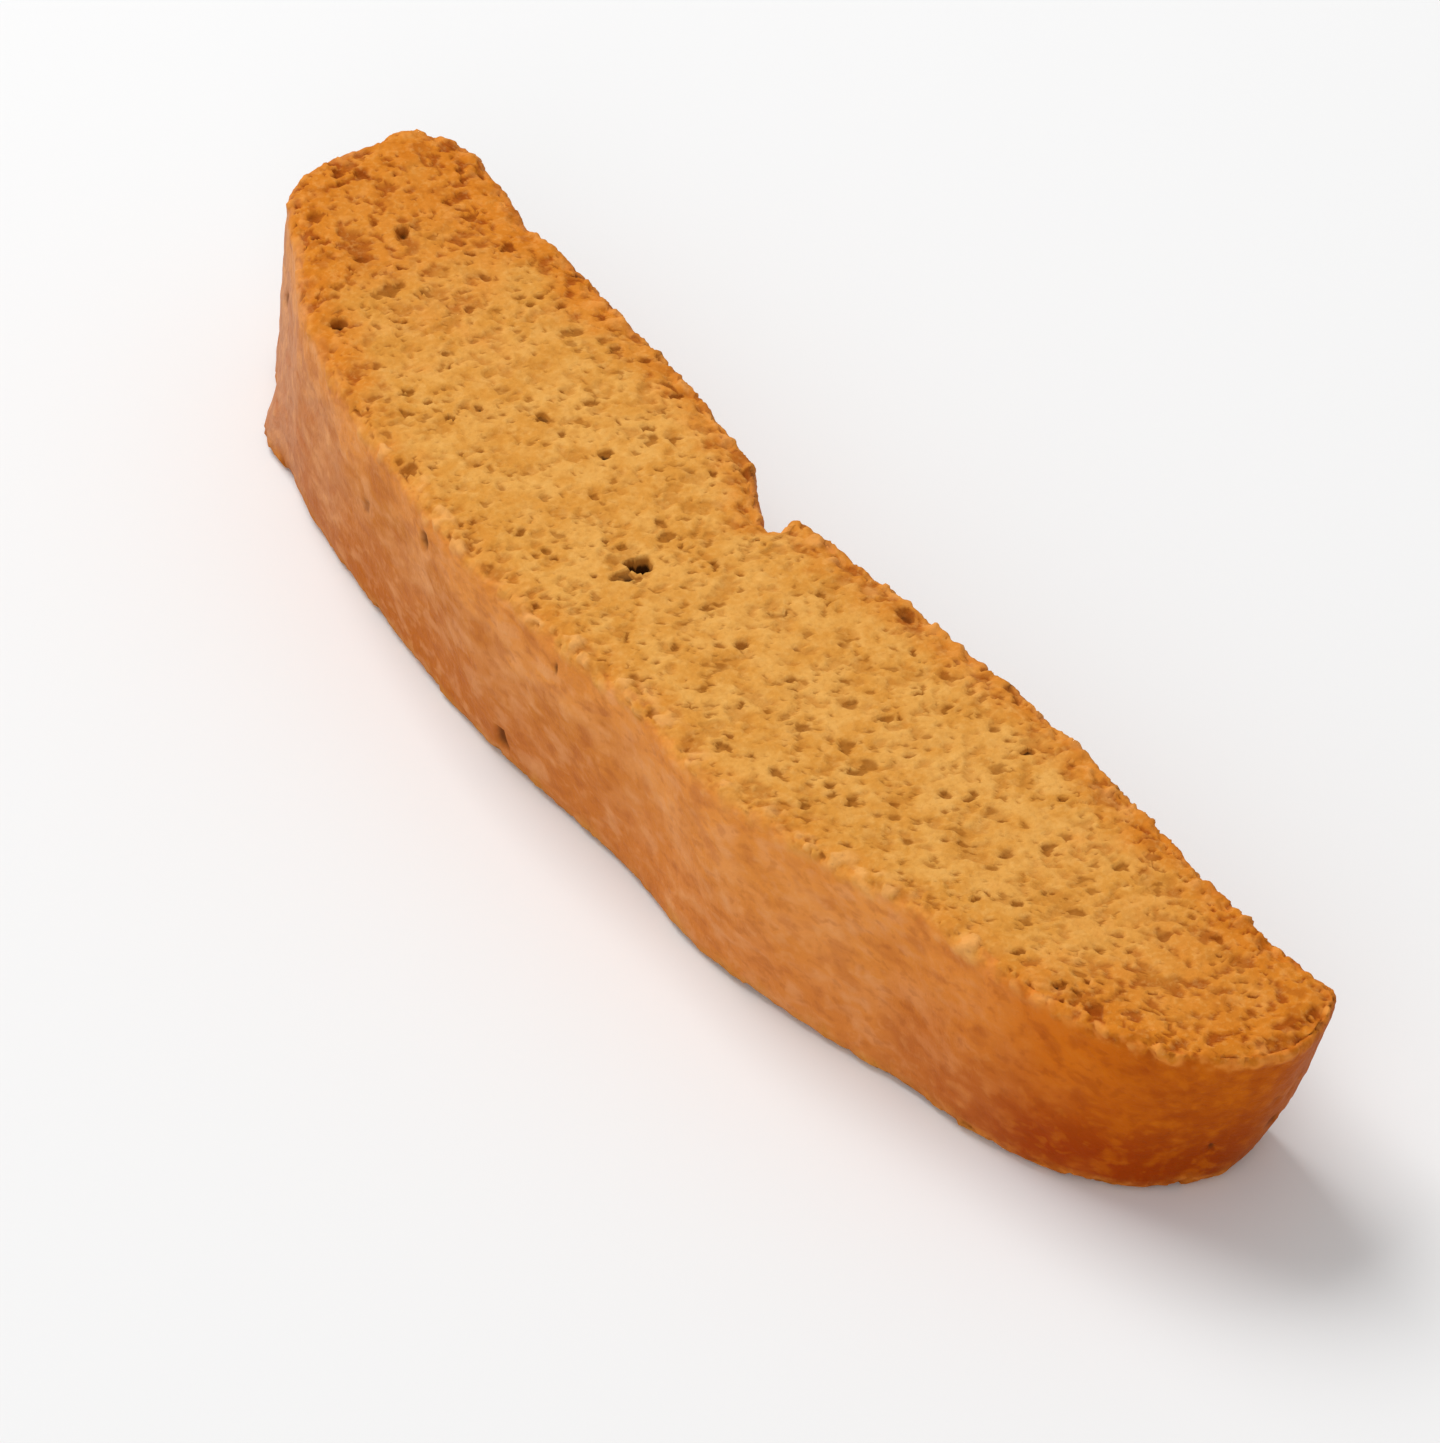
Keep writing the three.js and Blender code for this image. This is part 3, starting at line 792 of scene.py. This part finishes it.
def plain_crust(g, spot, tone, mottle):
    """The crust's broad colours: orange-brown, browner low down and at the far half's foot, partly
    painted contact shade, paler in a band below the rim, pinker at the far end with a painted
    sheen, and deepest low on the near end and darkest at its tip, partly and then wholly painted
    shade; duller on the straight side."""
    along, height, low = spot.along, spot.height, spot.low
    moved = (mottle - 0.5) * BAND_MOTTLE_WANDER + (tone - 0.5) * BAND_TONE_WANDER
    band = g.ranged(moved + height, *RIM_BAND)
    far = g.ranged(spot.uneven * 0.6 - along, *FAR_PINK_AND_SHEEN)
    foot = g.ranged(height, *FOOT_BROWN_AND_SHADE) * g.ranged(along, *FOOT_NEAR) * g.ranged(along, *FOOT_FAR)
    near_half = g.ranged(along, *NEAR_HALF)
    darker = g.blend(near_half, colour(200, 122, 52), colour(221, 139, 61))
    lighter = g.blend(near_half, colour(214, 142, 80), colour(227, 150, 81))
    low_brown_and_shade = g.blend(near_half, colour(188, 102, 34), colour(212, 126, 56))
    band_orange = g.blend(tone, colour(220, 128, 40), colour(232, 152, 68))
    far_pink_and_sheen = g.blend(band, colour(190, 138, 106), colour(210, 142, 84))
    near_brown_and_shade = g.blend(low, colour(206, 106, 10), colour(158, 56, 0))

    crust = g.blend(g.ranged(tone, 0.38, 0.62), darker, lighter)
    # Browner low down and darker still at the far half's foot: partly the crust's own browning,
    # partly painted contact shade, darkest on the far half.
    crust = g.blend(low * 0.75, crust, low_brown_and_shade)
    crust = g.blend(foot * 0.6, crust, colour(184, 98, 20))
    crust = g.blend(band * 0.7, crust, band_orange)
    # Pinker and greyer towards the far end: a painted sheen of grazing light over the crust's own
    # pinkish tan.
    crust = g.blend(far * 0.7, crust, far_pink_and_sheen)
    # The near end's crust: a deep brown, darker low down, partly its own toasting and partly
    # painted shade, and at its tip painted shade alone.
    crust = g.blend(spot.near, crust, near_brown_and_shade)
    crust = g.touched(crust, colour(150, 60, 0), along, *NEAR_TIP_SHADE, 0.5)
    straight = g.blend(g.ranged(tone, 0.3, 0.7), colour(190, 108, 42), colour(206, 130, 62))
    # The straight side darkens towards the near end too, partly toasting and partly painted shade.
    straight = g.blend(spot.near * 0.9, straight, colour(176, 84, 12))
    return g.blend(spot.dome, straight, crust)


def crust_colour(g, spot):
    """The crust with paler and darker mottling and streaks, which are fainter on the straight
    side and deeper in colour on the near end, with brown lumps, and with painted shade in its
    specks' pits."""
    tone = g.noise(3.4, distortion=0.3, drawn_out=1.6)
    mottle = g.noise(1.8, distortion=0.3, drawn_out=1.8)
    streaks, strength = spot.streaks, spot.dome * 0.4 + 0.6
    pale_mottle = g.blend(spot.deep, colour(226, 160, 106), colour(208, 110, 8))
    dark_mottle = g.blend(spot.deep, colour(184, 102, 46), colour(156, 62, 0))
    pale_streak = g.blend(spot.deep, colour(228, 162, 102), colour(208, 114, 14))
    dark_streak = g.blend(spot.deep, colour(170, 90, 36), colour(146, 56, 0))
    lump = g.blend(spot.deep, colour(186, 102, 42), colour(160, 66, 0))

    crust = plain_crust(g, spot, tone, mottle)
    crust = g.touched(crust, pale_mottle, mottle, 0.5, 0.68, 0.4, strength)
    crust = g.touched(crust, dark_mottle, mottle, 0.49, 0.32, 0.4, strength)
    crust = g.touched(crust, pale_streak, streaks, 0.53, 0.72, 0.3, strength)
    crust = g.touched(crust, dark_streak, streaks, 0.47, 0.3, 0.3, strength)
    crust = g.touched(crust, lump, spot.lump, -0.2, 0.5, 0.15)
    # Painted shade in the specks' pits, darker the deeper they are.
    return g.touched(crust, colour(98, 52, 22), spot.pit, 0.1, 0.9, 0.8)


def baked_finish():
    """Crumb on the cut faces and crust on the wall, with a brighter fringe between them on the
    near end, paler crumbs with a painted glint along the rims and a dry, almost matt surface."""
    g = Graph("baked_crumb")
    spot = read_spot(g)
    base = g.blend(spot.cut, crust_colour(g, spot), crumb_colour(g, spot))
    fringe = g.ranged(spot.cut, 0.0, 0.4) * g.ranged(spot.cut, 1.0, 0.6) * spot.deep
    base = g.touched(base, colour(230, 140, 58), spot.streaks, 0.4, 0.6, 0.5, fringe)
    # The crumbs that cling to the rims: pale crumb colour with a painted glint on them.
    crumbs_and_glint = g.blend(spot.toast, colour(236, 180, 110), colour(228, 150, 70))
    base = g.blend(spot.crumbs * g.ranged(spot.height, *PALE_CRUMBS_AND_GLINT, 0.05, 0.6), base, crumbs_and_glint)
    relief = spot.grain * 0.5 + spot.streaks * 0.7
    return g.finish({
        "Base Color": base,
        "Roughness": g.ranged(spot.cut, 0.0, 1.0, 0.6, 0.9),
        "Normal": g.bump(relief, distance=0.3, strength=0.7),
        "Specular IOR Level": 0.05,
    })


def floor_finish():
    """Plain pale matt floor."""
    return Graph("pale_floor").finish({"Base Color": (0.8, 0.8, 0.8, 1.0), "Roughness": 0.9})


# ------------------------------------------------------------------ floor, light and camera

VIEW_AZIMUTH, VIEW_ELEVATION = 56.35, 39.15  # degrees, round from the front and up
VIEW_TARGET = (2.0, -2.0, 6.0)  # the place in the rusk that the camera is aimed at
VIEW_DISTANCE = 636.0  # mm from there to the camera
VIEW_LENS, SENSOR = 205.0, 36.0  # mm
NEAREST, FARTHEST = 0.01, 20.0  # metres that the camera sees between

# Lights: azimuth and elevation in degrees, distance and side in metres, power in watts.
KEY_LIGHT = (-85.0, 52.0, 1.6, 1.0, 20.0)
FILL_LIGHT = (48.0, 30.0, 1.8, 1.2, 7.5)
SKY_STRENGTH = 0.5
FLOOR_HALF = 4000.0  # mm from the floor's middle to its sides


def direction(azimuth, elevation):
    """The unit vector that points back towards a viewer at this azimuth and elevation."""
    a, e = math.radians(azimuth), math.radians(elevation)
    return Vector((math.sin(a) * math.cos(e), -math.cos(a) * math.cos(e), math.sin(e)))


def make_camera():
    """The camera, looking level and straight at its target from the given distance."""
    data = bpy.data.cameras.new("view")
    data.lens, data.sensor_width = VIEW_LENS, SENSOR
    data.clip_start, data.clip_end = NEAREST, FARTHEST
    camera = bpy.data.objects.new("view", data)
    back = direction(VIEW_AZIMUTH, VIEW_ELEVATION)
    camera.location = (Vector(VIEW_TARGET) + back * VIEW_DISTANCE) * MM
    camera.rotation_euler = (-back).to_track_quat("-Z", "Y").to_euler()
    bpy.context.scene.collection.objects.link(camera)
    bpy.context.scene.camera = camera


def make_light(name, azimuth, elevation, distance, size, power):
    """A square soft light aimed at the middle of the slice's foot."""
    data = bpy.data.lights.new(name, "AREA")
    data.size, data.energy = size, power
    light = bpy.data.objects.new(name, data)
    back = direction(azimuth, elevation)
    light.location = back * distance
    light.rotation_euler = (-back).to_track_quat("-Z", "Y").to_euler()
    bpy.context.scene.collection.objects.link(light)


def make_surroundings():
    """An even white sky, a key light, a weaker fill light and a flat floor under the rusk."""
    world = bpy.data.worlds.new("studio")
    world.use_nodes = True
    background = world.node_tree.nodes["Background"]
    background.inputs["Color"].default_value = (1.0, 1.0, 1.0, 1.0)
    background.inputs["Strength"].default_value = SKY_STRENGTH
    bpy.context.scene.world = world
    bpy.context.scene.view_settings.view_transform = "Standard"
    make_light("key", *KEY_LIGHT)
    make_light("fill", *FILL_LIGHT)
    corners = np.array([(-1, -1, 0), (1, -1, 0), (1, 1, 0), (-1, 1, 0)]) * FLOOR_HALF
    floor = mesh_of("floor", corners, [np.array([[0, 1, 2, 3]])])
    floor.data.materials.append(floor_finish())


# ------------------------------------------------------------------ putting it together

make_camera()
make_surroundings()

rusk = make_rusk()
rusk.data.materials.append(baked_finish())
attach(rusk, "root")
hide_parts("rusk")
